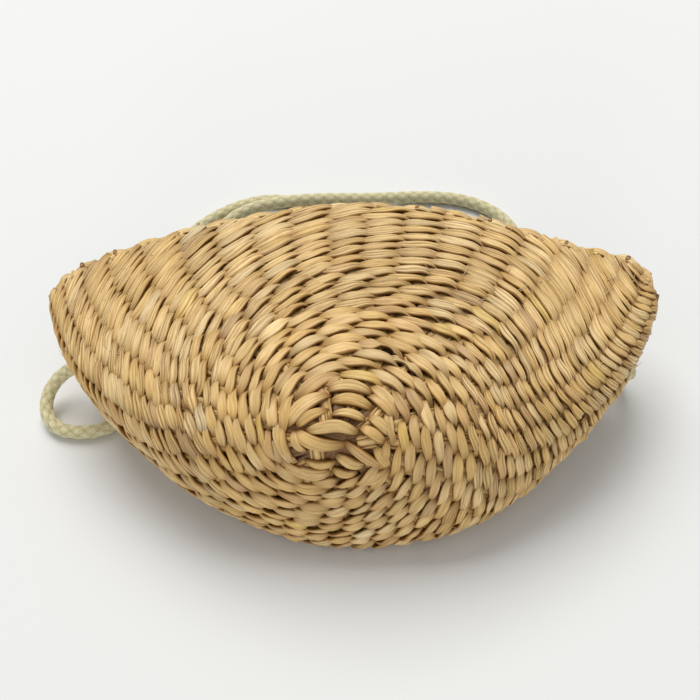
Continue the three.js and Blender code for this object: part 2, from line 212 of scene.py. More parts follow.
def leaf_tube(
    path, normal, lift, width, thick, fold, shade, ribs=2.0, rib_depth=0.3, tilt=0.0, flatness=6
):
    """Flattened strand along a path on the bag. Each ring is flat inside and arched outside: its points
    go across the path by half the width times a cosine, and out along the bag's normal by the lift and
    the arch, which sharp lengthwise folds part into ribs, and the tilt lifts one edge. The higher the
    flatness, the flatter the arch and the sharper its edges. Edges and folds are darkened by painted
    shade. Returns vertices, faces, leaf coordinates and shades."""
    rings = len(path)
    lift, width, thick, fold, ribs, tilt = (
        np.broadcast_to(value, rings)[:, None] for value in (lift, width, thick, fold, ribs, tilt)
    )
    along = np.gradient(path, axis=0)
    along /= np.linalg.norm(along, axis=1, keepdims=True)
    across = np.cross(along, normal)
    across /= np.linalg.norm(across, axis=1, keepdims=True)
    angle = np.concatenate([np.linspace(0, np.pi, OUTER_POINTS), INNER_ANGLES])
    side, face = np.cos(angle), np.sin(angle)
    outer = face > 1e-6
    arch = np.where(outer, np.sqrt(np.clip(1 - np.abs(side) ** flatness, 0, 1)), 0)
    folded = 1 - np.abs(np.cos(np.pi / 2 * (ribs * side) + fold))
    raised = ARCH_HEIGHT * arch * (1 - rib_depth * folded) - ARCH_FOOT
    raised = raised + np.where(outer, 0, INNER_BULGE * face) + tilt * side
    out = lift + 0.5 * thick * raised
    aside = 0.5 * width * side
    outwards, sideways = normal[:, None, :] * out[..., None], across[:, None, :] * aside[..., None]
    vertices = path[:, None, :] + outwards + sideways
    count = len(angle)
    index = np.arange(rings * count).reshape(rings, count)
    beside = np.roll(index, -1, axis=1)
    quads = np.stack([index[:-1], index[1:], beside[1:], beside[:-1]], -1).reshape(-1, 4)
    faces = quads.tolist() + [index[0].tolist(), index[-1][::-1].tolist()]
    lengthwise = np.repeat(run_along(path) * PATTERN_SCALE, count)
    crosswise = np.tile(side * 0.5 + 0.5, rings) + np.repeat(np.round(fold, 1), count)
    uvs = np.stack([lengthwise, crosswise], -1)
    # Painted shade in the strand's edges and folds
    crease_shade = EDGE_DARKNESS * (1 - arch) + FOLD_DARKNESS * rib_depth * folded**2
    unshaded = 1 - EDGE_PAINTED_SHADE * np.clip(crease_shade, 0, 1)[..., None]
    shades = np.broadcast_to(shade, (rings, 3))[:, None, :] * unshaded
    return vertices.reshape(-1, 3), faces, uvs, shades.reshape(-1, 3)


def join_tubes(tubes):
    """Several strands as one set of arrays, with their faces numbered on."""
    offset = np.cumsum([0] + [len(tube[0]) for tube in tubes])
    faces = [[corner + base for corner in face] for tube, base in zip(tubes, offset) for face in tube[1]]
    vertices, uvs, shades = (np.concatenate([tube[part] for tube in tubes]) for part in (0, 2, 3))
    return vertices, faces, uvs, shades


def fill_mesh(name, vertices, faces, uvs, shades):
    """Mesh object from whole arrays: vertices in millimetres, faces as lists of corners, one pair of
    leaf coordinates and one shade for each vertex."""
    mesh = bpy.data.meshes.new(name)
    mesh.from_pydata((vertices * MM).tolist(), [], faces)
    mesh.polygons.foreach_set("use_smooth", np.ones(len(mesh.polygons), bool))
    corners = np.empty(len(mesh.loops), int)
    mesh.loops.foreach_get("vertex_index", corners)
    layer = mesh.uv_layers.new(name="leaf")
    layer.data.foreach_set("uv", uvs[corners].astype(np.float32).ravel())
    opaque = np.column_stack([shades, np.ones(len(shades))])
    shade = mesh.attributes.new("shade", "FLOAT_COLOR", "POINT")
    shade.data.foreach_set("color", opaque.astype(np.float32).ravel())
    piece = bpy.data.objects.new(name, mesh)
    bpy.context.scene.collection.objects.link(piece)
    return piece


def tint_by_shade(nodes, links, pattern, dark, light):
    """The mesh's own shade, times a ramp of a pattern from a dark to a light tint, as base colour. Each
    tint is a position on the pattern and a colour."""
    own = nodes.new("ShaderNodeAttribute")
    own.attribute_name = "shade"
    ramp = nodes.new("ShaderNodeValToRGB")
    for stop, (position, colour) in zip(ramp.color_ramp.elements, (dark, light)):
        stop.position = position
        stop.color = colour
    links.new(pattern, ramp.inputs["Fac"])
    # Of a colour mix, sockets 6 and 7 are the two colours and output 2 is the result
    tint = nodes.new("ShaderNodeMix")
    tint.data_type = "RGBA"
    tint.blend_type = "MULTIPLY"
    tint.inputs["Factor"].default_value = 1.0
    links.new(own.outputs["Color"], tint.inputs[6])
    links.new(ramp.outputs["Color"], tint.inputs[7])
    links.new(tint.outputs[2], nodes["Principled BSDF"].inputs["Base Color"])


def raise_by(nodes, links, pattern, strength, depth):
    """A pattern as bump, up to a depth in metres."""
    bump = nodes.new("ShaderNodeBump")
    bump.inputs["Strength"].default_value = strength
    bump.inputs["Distance"].default_value = depth
    links.new(pattern, bump.inputs["Height"])
    links.new(bump.outputs["Normal"], nodes["Principled BSDF"].inputs["Normal"])


def straw_material(name, rib_scale, rib_depth, streak_colour):
    """Dried leaf, a little glossy: the strand's own shade, streaked along its length by noise that is
    stretched that way, darker where the noise is low, with the same noise as fine ribs in the bump."""
    material = bpy.data.materials.new(name)
    material.use_nodes = True
    nodes, links = material.node_tree.nodes, material.node_tree.links
    shader = nodes["Principled BSDF"]
    shader.inputs["Roughness"].default_value = 0.5
    shader.inputs["Specular IOR Level"].default_value = 0.45
    leaf = nodes.new("ShaderNodeUVMap")
    leaf.uv_map = "leaf"
    stretch = nodes.new("ShaderNodeMapping")
    stretch.inputs["Scale"].default_value = (1.0, rib_scale, 1)
    links.new(leaf.outputs["UV"], stretch.inputs["Vector"])
    ribs = nodes.new("ShaderNodeTexNoise")
    ribs.inputs["Scale"].default_value = 1.0
    ribs.inputs["Detail"].default_value = 3.0
    ribs.inputs["Roughness"].default_value = 0.6
    links.new(stretch.outputs["Vector"], ribs.inputs["Vector"])
    dark, light = (0.27, streak_colour), (0.56, (1.1, 1.1, 1.08, 1))
    tint_by_shade(nodes, links, ribs.outputs["Fac"], dark, light)
    raise_by(nodes, links, ribs.outputs["Fac"], strength=0.6, depth=rib_depth)
    return material


def screen_colour(red, green, blue):
    """Linear colour of a shade that is given as it looks on a screen, from 0 to 255."""
    shade = np.array([red, green, blue]) / 255
    return np.where(shade < 0.04045, shade / 12.92, ((shade + 0.055) / 1.055) ** 2.4)


# Each length of leaf has dried to a shade of its own
straw_shades = np.array(
    [
        screen_colour(238, 207, 146),
        screen_colour(234, 200, 133),
        screen_colour(243, 217, 163),
        screen_colour(229, 194, 135),
        screen_colour(212, 180, 130),
        screen_colour(246, 229, 186),
        screen_colour(237, 207, 130),
    ]
)
smooth_straw = straw_material(
    "smooth_straw", rib_scale=6.0, rib_depth=0.0005, streak_colour=(0.74, 0.65, 0.51, 1)
)

# Strips of the swirl
# Painted shade: a darker, warmer tint over the base, which fades to a lighter share up the wall
PAINTED_SHADE_TINT = np.array([0.84, 0.785, 0.715])
SWIRL_STEPS = 17
STRIP_SHADES = (0, 1, 0, 3, 1, 0, 1)
TUCK_DEPTH = 0.8
STRIP_FILL = 0.88
STRIP_END = 0.25
STRIP_THICK = 1.7
STRIP_SWELL = 1.3

# Where each strip begins, passes and ends, across and up the base, its width and how far it stands out
swirl_strips = (
    ((-17.6, -11.6), (-10.0, -14.0), (-2.4, -13.2), 5.2, 1.7),
    ((-2.8, -11.6), (2.0, -13.6), (7.2, -13.2), 5.0, 1.6),
    ((7.2, -17.6), (12.8, -15.6), (17.6, -11.6), 4.6, 1.7),
    ((-25.4, 6.0), (-26.4, -2.0), (-23.6, -10.0), 5.4, 1.6),
    ((-20.0, 7.6), (-20.6, -0.8), (-17.2, -8.4), 4.4, 1.7),
    ((-16.0, 4.8), (-15.2, -0.4), (-11.6, -4.8), 4.6, 1.6),
    ((13.0, -1.2), (16.2, -6.0), (19.0, -11.2), 5.0, 1.7),
    ((9.2, 10.4), (15.0, 7.4), (19.4, 2.8), 5.0, 1.9),
    ((6.8, 6.2), (12.4, 3.8), (17.6, 0.2), 5.0, 1.8),
    ((-4.0, 19.6), (3.0, 21.0), (10.5, 19.4), 5.2, 1.8),
    ((8.6, 18.6), (14.8, 15.6), (19.8, 10.4), 5.2, 1.7),
    ((-2.8, 14.8), (4.0, 15.4), (11.2, 13.6), 5.0, 1.9),
    ((-2.4, 9.6), (3.6, 10.2), (9.2, 8.8), 4.6, 1.7),
    ((-15.0, 6.0), (-9.6, 9.8), (-2.4, 11.6), 4.6, 1.5),
    ((-19.0, 6.4), (-11.8, 13.8), (-2.4, 18.0), 7.4, 2.1),
    ((-13.2, -8.2), (-6.8, -9.8), (-0.4, -8.4), 4.6, 1.6),
    ((-1.2, -5.2), (4.4, -8.4), (10.0, -10.4), 5.0, 1.7),
    ((2.0, 0.6), (9.6, -5.6), (17.2, -11.2), 5.0, 2.2),
    ((-14.4, 5.2), (-9.4, 0.2), (4.2, -0.8), 6.0, 2.1),
    ((-12.0, 4.0), (-2.0, 5.4), (7.6, 3.6), 5.6, 2.5),
)
swirl = []
for place, (first, middle, last, width, lift) in enumerate(swirl_strips):
    s = np.linspace(0, 1, SWIRL_STEPS)
    pull = 2 * np.array(middle) - 0.5 * (np.array(first) + np.array(last))
    across, up = (
        first[axis] * (1 - s) ** 2 + 2 * pull[axis] * s * (1 - s) + last[axis] * s**2 for axis in (0, 1)
    )
    path, normal = on_start(across, up)
    bow = np.sin(np.pi * s)
    # Painted shade on the strip's ends, where each tucks under the next
    ends = np.clip(1 - 1.5 * bow, 0, 1)[:, None]
    own_shade = straw_shades[STRIP_SHADES[place % len(STRIP_SHADES)]]
    swirl.append(
        leaf_tube(
            path,
            normal,
            lift=-TUCK_DEPTH + (lift + TUCK_DEPTH) * bow**0.5,
            width=STRIP_FILL * width * (STRIP_END + (1 - STRIP_END) * bow**0.7),
            thick=STRIP_THICK + STRIP_SWELL * bow,
            fold=1.7 * place,
            shade=own_shade * PAINTED_SHADE_TINT * (1 - EDGE_PAINTED_SHADE * ends),
            ribs=2.2 + 0.6 * (place % 4),
            rib_depth=0.16,
            tilt=0.35 * (-1) ** place,
            flatness=10,
        )
    )

# The crossed stakes under the strips, painted dark as the shade in the gaps between the strips
CROSSING_STEP = 18
CROSSING_REACH = 21
CROSSING_PAINTED_SHADE = np.array([0.27, 0.19, 0.11])
for angle in range(0, 180, CROSSING_STEP):
    s = CROSSING_REACH * np.linspace(-1, 1, SWIRL_STEPS)
    path, normal = on_start(s * np.cos(np.radians(angle)), s * np.sin(np.radians(angle)))
    shade = straw_shades[3] * CROSSING_PAINTED_SHADE
    swirl.append(
        leaf_tube(path, normal, lift=-0.2, width=4.4, thick=1.2, fold=angle, shade=shade, ribs=6.0)
    )

# Short bundles of fibre that show between the strips: their middle, their direction and their width
BUNDLE_REACH = 3.4
BUNDLE_STEPS = 7
BUNDLE_SHADE = np.array([0.94, 0.9, 0.82])
for (across, up), angle, width in (
    ((-8.0, -5.2), 95, 6.0),
    ((10.4, 0.0), 15, 6.0),
    ((-4.4, 7.6), 100, 3.6),
    ((13.0, 12.2), 60, 4.4),
    ((-6.8, -17.6), 80, 5.0),
    ((-19.2, 11.2), 140, 4.0),
    ((-19.2, -9.6), 35, 4.0),
):
    s = np.linspace(-BUNDLE_REACH, BUNDLE_REACH, BUNDLE_STEPS)
    path, normal = on_start(across + s * np.cos(np.radians(angle)), up + s * np.sin(np.radians(angle)))
    swirl.append(
        leaf_tube(
            path,
            normal,
            lift=0.5,
            width=width,
            thick=1.6,
            fold=0,
            shade=straw_shades[0] * BUNDLE_SHADE,
            ribs=6.0,
            rib_depth=0.5,
        )
    )
woven_start = fill_mesh("woven_start_strips", *join_tubes(swirl))
woven_start.data.materials.append(smooth_straw)
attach(woven_start, "root")
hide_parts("woven_start")

# Stakes
# Flat bundles of split leaf that run from the base to the rim, pressed wide between the weavers that go
# round them. More are laid in as the base widens. Only their ribs show, in the gaps between rows.
WALL_STAKES = 40
STAKE_STEPS = 60
STAKE_THICK = 1.4
FIRST_STAKES_BEGIN = 8
BASE_STAKES_BEGIN = 20
WALL_STAKES_BEGIN = 46
STAKES_CUT = 160
MEAN_ROW = 4.3
# Painted shade on the stakes, which show only in the shadowed gaps between rows
STAKE_PAINTED_SHADE = np.array([0.76, 0.66, 0.5])
FLOOR_GAP = 0.3
FULL_LIPS = ((9.0, 20, 15), (7.0, 84, 27), (3.0, 170, 18))  # millimetres, middle and spread in degrees
WORN_HOLES = ((72.0, 43.0, 3.2), (61.0, 40.5, 2.6))  # turn in degrees, distance from the start, size
WORN_AWAY = 0.85
straw = straw_material("straw", rib_scale=8.0, rib_depth=0.0006, streak_colour=(0.64, 0.53, 0.37, 1))
stake_length = np.array([np.interp(1.0, table_reach, row) for row in table_length])


def length_at(turn):
    """Length of a stake from the start to the edge of the wall, in millimetres. The soft weave stands out
    further in three smooth lobes: at the right corner, in the middle of the front and, a little, at the
    left corner."""
    degrees = np.degrees(turn) % 360
    longer = sum(
        extra * np.exp(-(((degrees - middle) / spread) ** 2)) for extra, middle, spread in FULL_LIPS
    )
    return np.interp(degrees, np.arange(TABLE_TURNS), stake_length) + longer


def stake_turn(rounds):
    """Turn about the start at a place on the weavers' spiral. Stakes are closer at the front and back,
    where the oval rounds are flat, than at the sides."""
    even = 2 * np.pi * rounds
    closer = np.interp(rounds, [6, 30], [0.18, 0.12])
    return even + closer / 2 * np.sin(2 * even)


def worn_at(turn, distance):
    """Share of the leaf's width that is left: almost none at the two worn holes, all of it elsewhere."""
    left = np.ones(np.broadcast(turn, distance).shape)
    for degrees, reached, size in WORN_HOLES:
        sideways = np.radians(degrees_from(turn, degrees)) * reached
        left -= WORN_AWAY * np.exp(-((sideways / size) ** 4) - ((distance - reached) / size) ** 4)
    return left


def press_on_floor(vertices):
    """Vertices that would reach through the floor, flattened onto it."""
    pressed = vertices.copy()
    pressed[:, 2] = np.maximum(pressed[:, 2], FLOOR_GAP)
    return pressed


stake_tubes = []
for stake in range(WALL_STAKES):
    begin = WALL_STAKES_BEGIN
    if stake % 2 == 0:
        begin = FIRST_STAKES_BEGIN if stake % 4 == 0 else BASE_STAKES_BEGIN
    distance = np.linspace(begin, STAKES_CUT, STAKE_STEPS)
    rounds = np.round(distance / MEAN_ROW) + stake / WALL_STAKES
    turn = stake_turn(rounds) % (2 * np.pi)
    distance = np.minimum(distance, length_at(turn) + 1)
    keep = np.concatenate([[True], np.diff(distance) > 0.5])
    distance, rounds, turn = distance[keep], rounds[keep], turn[keep]
    path, normal = on_bag(turn, distance)
    beside, _ = on_bag(stake_turn(rounds + 1 / WALL_STAKES), distance)
    room = np.linalg.norm(beside - path, axis=1) * np.interp(distance, [begin, 22, 50], [1.5, 2, 1])
    # Painted shade: the stakes are darker on the wall, where they lie deep between the rows
    darker = np.interp(distance, [50, 70], [1, 0.5])[:, None]
    stake_tubes.append(
        leaf_tube(
            path,
            normal,
            lift=0,
            width=room * worn_at(turn, distance),
            thick=STAKE_THICK,
            fold=stake,
            shade=straw_shades[(stake * 5) % 4] * STAKE_PAINTED_SHADE * darker,
            ribs=6.0,
            rib_depth=0.5,
        )
    )
vertices, faces, uvs, shades = join_tubes(stake_tubes)
stakes = fill_mesh("stake_strips", press_on_floor(vertices), faces, uvs, shades)
stakes.data.materials.append(straw)
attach(stakes, "root")
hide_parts(*[f"stake_{number:02d}" for number in range(1, WALL_STAKES + 1)])

# Weavers
# One pair of leaf strands, folded lengthwise and spliced as it goes, twined in a spiral round the stakes:
# at each stake one strand passes outside and the other inside, and between the stakes they cross. The
# stakes that they pass in a round grow from about 10 at the start to 40 a few rounds up the wall.
STEPS = 9  # rings of a strand from one stake to the next
FIRST_ROUND = 4.25
ROUNDS_END = 5.5
BASE_END = 12.0
HALF_WAY = 24.0
LAST_ROUND = 45.0
ROW = 4.25
FRONT_ROW_WIDER = 1.05
BEATEN_TURN = 22
BEATEN_SPREAD = 24
BEATEN_CLOSER = 1.0
STAKES_ADDED = 2.6
ALL_STAKES_AT = 15.8
START_ASIDE = (3.0, 1.6)
ASIDE_ROUNDS = 8
OVER_LIFT = 1.45
DIVE_LIFT = 0.35
DIVE_FIRMNESS = 1.6
LATE = 0.1  # share of a gap by which a stitch is highest past its stake
NECK = 0.26  # width in rows where a strand dives, and what its middle adds
BELLY = 0.76
HIDDEN_WIDTH = 0.6
THIN = 1.0
THICKER = 0.9
TWIST = 0.5
PAINTED_SHADE_TINT_FADES = ([7, 15], [1, 0.28])  # rounds, and the share of the base's painted shade tint that is left there
RIM_OVERLAP = 1.5
SHORTEST_RUN = 5
VARIES = {"width": 0.12, "thick": 0.12, "place": 0.09, "fold": 1.6, "lift": 0.14, "late": 0.08}
LIGHT_VARIES = 0.055
shade_share = np.array([0.42, 0.28, 0.17, 0.075, 0.03, 0.01, 0.015])
chance = np.random.default_rng(11)


def row_pitch(turn):
    """Width of one row in millimetres: the front panel is beaten less tightly than the sides."""
    return ROW + FRONT_ROW_WIDER * np.clip(np.sin(turn), 0, 1) ** 2


def beaten_at(turn):
    """Millimetres by which each row of the wall is beaten closer at the right corner."""
    return BEATEN_CLOSER * np.exp(-((degrees_from(turn, BEATEN_TURN) / BEATEN_SPREAD) ** 2))


def stakes_passed(rounds):
    """Number of stakes that the spiral has passed: 40 in a round on the wall, fewer by a steady step in
    each round before that."""
    return WALL_STAKES * rounds + STAKES_ADDED / 2 * np.maximum(ALL_STAKES_AT - rounds, 0) ** 2


def weaver(first_round, last_round, partner, leaf):
    """Strand of a twined pair over some rounds of the spiral. Counted in stakes, it follows a cosine that
    is flattened on the outside, so it is out for about two thirds of every two gaps and then dives.
    While it is out it slants across its row by a sine, so that its end lies beside the start of the
    other strand. It is widest over its stake and pointed where it dives, leans to one side or the
    other, and is thin where the leaf is worn. The first rounds lie a little aside of the middle, and the
    strand is cut where the spiral passes the rim."""
    table = np.linspace(first_round, last_round, 4000)
    passed = stakes_passed(table)
    count = int(round(passed[-1] - passed[0]))
    t = np.linspace(0, count, count * STEPS + 1) + passed[0]
    rounds = np.interp(t, passed, table)
    turn = stake_turn(rounds)
    beaten = beaten_at(turn)
    pitch = row_pitch(turn) - beaten * np.clip((rounds - BASE_END + 1) / 2, 0, 1)

    # Chance for each stitch, and its smooth course along the strand
    stitches = count + 3
    vary = {key: spread * chance.normal(0, 1, stitches) for key, spread in VARIES.items()}
    place = t - np.floor(passed[0])
    more = {key: np.interp(place, np.arange(stitches), value) for key, value in vary.items()}
    nearest = np.round((t + partner - LATE) / 2).astype(int)
    nearest -= nearest[0]
    pick = chance.choice(len(straw_shades), stitches, p=shade_share)
    light = 1 + LIGHT_VARIES * chance.normal(0, 1, stitches)
    lean = leaf["lean"] * chance.normal(0, 1, stitches)
    creases = chance.uniform(*leaf["creases"], stitches)

    # Where the strand is out, and how wide, thick and high it is there
    phase = np.pi * (t + partner - LATE - more["late"])
    out = np.cos(phase)
    over = np.tanh(DIVE_FIRMNESS * (out + leaf["stay"])) / np.tanh(DIVE_FIRMNESS * (1 + leaf["stay"]))
    swell = np.clip(0.5 + 0.5 * out, 0, 1)
    inside = np.clip(-2 * out - 1, 0, 1)
    body = leaf["fullness"] * (NECK + BELLY * swell ** leaf["point"]) + HIDDEN_WIDTH * inside
    width = pitch * body * (1 + more["width"])
    thick = (THIN + THICKER * swell) * (1 + more["thick"])
    lift = (OVER_LIFT + more["lift"]) * over + DIVE_LIFT * out

    # Its course along the spiral
    right, up = START_ASIDE
    aside = (right * np.cos(turn + np.pi) + up * np.sin(turn)) * np.exp(-((rounds / ASIDE_ROUNDS) ** 2))
    middle = rounds * row_pitch(turn) - beaten * np.maximum(rounds - BASE_END, 0) + aside
    slant = leaf["slant"] * pitch * np.sin(np.pi * (t + partner))
    distance = middle - slant + pitch * more["place"]

    # Its colour: a shade for each stitch, a darker painted shade tint in the base, and painted shade where
    # it dives
    dive = np.clip(leaf["dive"] - 1.1 * swell**0.5, 0, 1)
    shade_tinted = 1 - (1 - PAINTED_SHADE_TINT) * np.interp(rounds, *PAINTED_SHADE_TINT_FADES)[:, None]
    shade = straw_shades[pick[nearest]] * shade_tinted * light[nearest][:, None]
    strand = {
        "lift": lift,
        "width": width * worn_at(turn, distance),
        "thick": thick,
        "fold": vary["fold"][nearest],
        "shade": shade * (1 - EDGE_PAINTED_SHADE * dive[:, None]),
        "ribs": creases[nearest],
        "tilt": lean[nearest] + TWIST * np.sin(phase) * swell,
    }

    # Its runs inside the rim
    inside_rim = middle < length_at(turn) + RIM_OVERLAP
    starts = np.flatnonzero(inside_rim & ~np.concatenate([[False], inside_rim[:-1]]))
    ends = np.flatnonzero(inside_rim & ~np.concatenate([inside_rim[1:], [False]])) + 1
    tubes = []
    for first, last in zip(starts, ends):
        if last - first < SHORTEST_RUN:
            continue
        run = slice(first, last)
        path, normal = on_bag(turn[run], distance[run])
        cut = {key: value[run] for key, value in strand.items()}
        tubes.append(
            leaf_tube(path, normal, **cut, rib_depth=leaf["crease_depth"], flatness=leaf["flatness"])
        )
    return join_tubes(tubes)


# The base is woven with smooth pointed leaf, the wall with longer stitches of finely folded leaf
base_leaf = {
    "creases": (0.8, 2.6),
    "crease_depth": 0.1,
    "fullness": 0.93,
    "point": 0.95,
    "lean": 0.5,
    "flatness": 14,
    "stay": 0.45,
    "slant": 0.31,
    # how dark the painted shade is where the strand dives behind its partner
    "dive": 1.15,
    "material": smooth_straw,
}
wall_leaf = {
    "creases": (1.8, 4.4),
    "crease_depth": 0.36,
    "fullness": 0.92,
    "point": 0.7,
    "lean": 0.38,
    "flatness": 8,
    "stay": 0.54,
    "slant": 0.4,
    # how dark the painted shade is where the strand dives behind its partner
    "dive": 1.14,
    "material": straw,
}
for name, part, first_round, last_round, leaf in (
    ("first_rounds", "", FIRST_ROUND, ROUNDS_END, base_leaf),
    ("base_weave", "", ROUNDS_END, BASE_END, base_leaf),
    ("wall_weave", "_low", BASE_END, HALF_WAY, wall_leaf),
    ("wall_weave", "_high", HALF_WAY, LAST_ROUND, wall_leaf),
):
    for partner, node in enumerate((f"{name}_outer", f"{name}_inner")):
        vertices, faces, uvs, shades = weaver(first_round, last_round, partner, leaf)
        pressed = press_on_floor(vertices)
        strand = fill_mesh(f"{name}_strand_{partner + 1}{part}", pressed, faces, uvs, shades)
        strand.data.materials.append(leaf["material"])
        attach(strand, "root")
        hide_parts(node)

# Border
# At the mouth each stake is bent over a core of leaf, along the rim past the next stake, and tucked in
# on the inside. The ends are cut off and have dried brown, and a few fibres stand out.
RIM_ROUND = 30
CORE_STEPS = 241
CORE_ABOVE = 1.4
CORE_WIDTH = 3.6
CORE_THICK = 3.0
FOLD_STEPS = 13
FOLD_SPAN = 1.25  # gaps between stakes that each folded end goes along
FOLD_WIDTH = 4.2
FOLD_BEGINS = 1.2  # below the edge of the wall
FOLD_RISE = 4.4
FOLD_OUT = 2.0
CUT_ENDS = 18
CUT_END_LENGTHS = np.array([0, 1.0, 1.9, 2.4])
CUT_END_WIDTHS = np.array([1.7, 2.0, 1.6, 0.6])
CUT_END_BROWN = np.array([[0.3], [0.9], [1.0], [1.0]])
LOOSE_FIBRES = 46
FIBRE_WIDTH = 0.34
brown = screen_colour(104, 62, 36)
turn = np.linspace(0, 2 * np.pi, CORE_STEPS)
path, normal = on_bag(turn, length_at(turn) + CORE_ABOVE)
border = [
    leaf_tube(path, normal, lift=0, width=CORE_WIDTH, thick=CORE_THICK, fold=0, shade=straw_shades[0])
]
for stake in range(WALL_STAKES):
    s = np.linspace(0, 1, FOLD_STEPS)
    turn = stake_turn(RIM_ROUND + (stake + FOLD_SPAN * s) / WALL_STAKES)
    rise = np.sin(np.pi * s)
    path, normal = on_bag(turn, length_at(turn) - FOLD_BEGINS + FOLD_RISE * rise**0.8)
    # Painted shade on each folded end, darker where it dips into the weave
    border.append(
        leaf_tube(
            path,
            normal,
            lift=FOLD_OUT * np.cos(np.pi * s),
            width=FOLD_WIDTH * (0.5 + 0.5 * rise),
            thick=1.1 + 0.5 * rise,
            fold=0.9 * stake,
            shade=straw_shades[(stake * 3) % 4] * (0.75 + 0.25 * rise)[:, None],
            ribs=3.0,
        )
    )
for end in range(CUT_ENDS):
    turn = np.full(4, 2 * np.pi * (end + chance.uniform(-0.3, 0.3)) / CUT_ENDS)
    path, normal = on_bag(turn, length_at(turn) + chance.uniform(0.8, 2.6) + CUT_END_LENGTHS)
    thin = chance.uniform(0.7, 1.2) * CUT_END_WIDTHS
    shade = straw_shades[0] + (brown - straw_shades[0]) * CUT_END_BROWN
    border.append(leaf_tube(path, normal, lift=1.6, width=thin, thick=thin, fold=0, shade=shade, ribs=1.0))
for _ in range(LOOSE_FIBRES):
    s = np.linspace(0, 1, 5)
    turn = chance.uniform(0, 2 * np.pi) + 0.04 * chance.normal() * s
    distance = length_at(turn) - chance.uniform(-3, 60) + chance.uniform(2, 6) * s
    path, normal = on_bag(turn, distance)
    rise = 2.2 + chance.uniform(0.3, 2.2) * s**1.5
    thin = FIBRE_WIDTH * (1 - 0.7 * s)
    border.append(leaf_tube(path, normal, lift=rise, width=thin, thick=thin, fold=0, shade=straw_shades[5]))
vertices, faces, uvs, shades = join_tubes(border)
rim_border = fill_mesh("rim_border_strips", press_on_floor(vertices), faces, uvs, shades)
rim_border.data.materials.append(straw)
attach(rim_border, "root")
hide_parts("rim_border")

# Strap
# One round braided cotton cord. It comes out below each mouth corner, loops beside the bag and lies on
# the floor behind it, where a loose loop and a fold take up the rest of its length.
CORD_DIAMETER = 6.0
REST = CORD_DIAMETER / 2 + FLOOR_GAP
INTO_BAG = 4.5
CORD_STRAIGHT = 9
CORD_RINGS = 1300
CORD_SIDES = 24
BRAID_STRANDS = 4
BRAID_LAY = 6.0
BRAID_CORE = 0.86
BRAID_RELIEF = 0.16
BRAID_DIP = 0.55  # how far a strand dips where it goes under
# Painted shade in the grooves of the braid, and the colour of its crests
braid_groove_shade = screen_colour(162, 151, 108)
braid_high = screen_colour(231, 223, 184)
left_hole = np.array([-108.6, 56.4, 27.8])
left_axis = np.array([-0.762, 0.136, -0.633])
mirror = np.array([-1, 1, 1])
leave_hole = left_hole + left_axis * np.linspace(-INTO_BAG, CORD_STRAIGHT, 4)[:, None]
strap_on_floor = np.array(
    [
        [-121, 60.6, 17],
        [-128.4, 58.5, 12.2],
        [-133.1, 52.2, 8.2],
        [-133.1, 44.4, 5],
        [-128.4, 38.1, REST + 0.3],
        [-121, 35.6, REST],
        [-107, 35.8, REST],
        [-95, 45.5, REST],
        [-92.5, 62, REST],
        [-97.5, 94, REST],
        [-97.5, 126, REST],
        [-84.5, 151.5, REST],
        [-66, 168.5, REST],
        [-45, 176, REST],
        [-24, 170, REST],
        [-12.5, 153.5, REST],
        [-17.5, 134.5, REST],
        [-35, 124.5, REST],
        [-55, 128, REST],
        [-69, 141, REST],
        [-68, 157, REST + 1.5],
        [-54.5, 165, REST + 4.4],
        [-36, 167.2, REST + 6.6],
        [-17, 168.8, REST + 6.6],
        [3, 172, REST + 2.6],
        [26, 176.5, REST],
        [48, 176, REST],
        [67, 167, REST],
        [78, 149.5, REST],
        [74.5, 129.5, REST],
        [55, 118, REST],
        [10, 115, REST],
        [-48, 116, REST],
        [-66, 115, REST],
        [-75, 107, REST],
        [-75, 94, REST],
        [-66, 86, REST],
        [-48, 85, REST],
        [30, 87, REST],
        [75, 85.5, REST],
        [95, 79.5, REST],
        [106, 76, REST],
        [114, 71, 5.2],
        [118.5, 65, 10.5],
        [118.5, 60.4, 17],
    ]
)


def share_of(part, whole):
    """Part over whole, or 0 where the whole is 0."""
    return np.where(whole > 0, part / np.where(whole > 0, whole, 1), 0)


def smooth_route(points, samples):
    """Clamped cubic B-spline pulled by the points, with evenly spaced knots, stepped evenly by length."""
    degree, count = 3, len(points)
    spans = count - degree
    knots = np.concatenate([np.zeros(degree), np.linspace(0, 1, spans + 1), np.ones(degree)])
    at = np.linspace(0, 1, 4 * samples)[:, None]
    last_span = (at == 1) & (knots[1:] == 1) & (knots[:-1] < 1)
    weight = ((at >= knots[:-1]) & ((at < knots[1:]) | last_span)).astype(float)
    for order in range(1, degree + 1):
        low = share_of(at - knots[: -order - 1], knots[order:-1] - knots[: -order - 1])
        high = share_of(knots[order + 1 :] - at, knots[order + 1 :] - knots[1:-order])
        weight = low * weight[:, :-1] + high * weight[:, 1:]
    curve = weight @ points
    travelled = run_along(curve)
    even = np.linspace(0, travelled[-1], samples)
    return np.stack([np.interp(even, travelled, curve[:, axis]) for axis in range(3)], -1), travelled[-1]


def steady_frame(path):
    """Two unit vectors across a path that turn with it and don't spin about it: the first is the one
    before it, less its part along the new direction, and the second is at right angles to both."""
    along = np.gradient(path, axis=0)
    along /= np.linalg.norm(along, axis=1, keepdims=True)
    across = np.empty_like(along)
    across[0] = np.cross(along[0], [0, 0, 1])
    for step in range(1, len(path)):
        across[step] = across[step - 1] - along[step] * (across[step - 1] @ along[step])
        across[step] /= np.linalg.norm(across[step])
    across[0] /= np.linalg.norm(across[0])
    return across, np.cross(along, across)


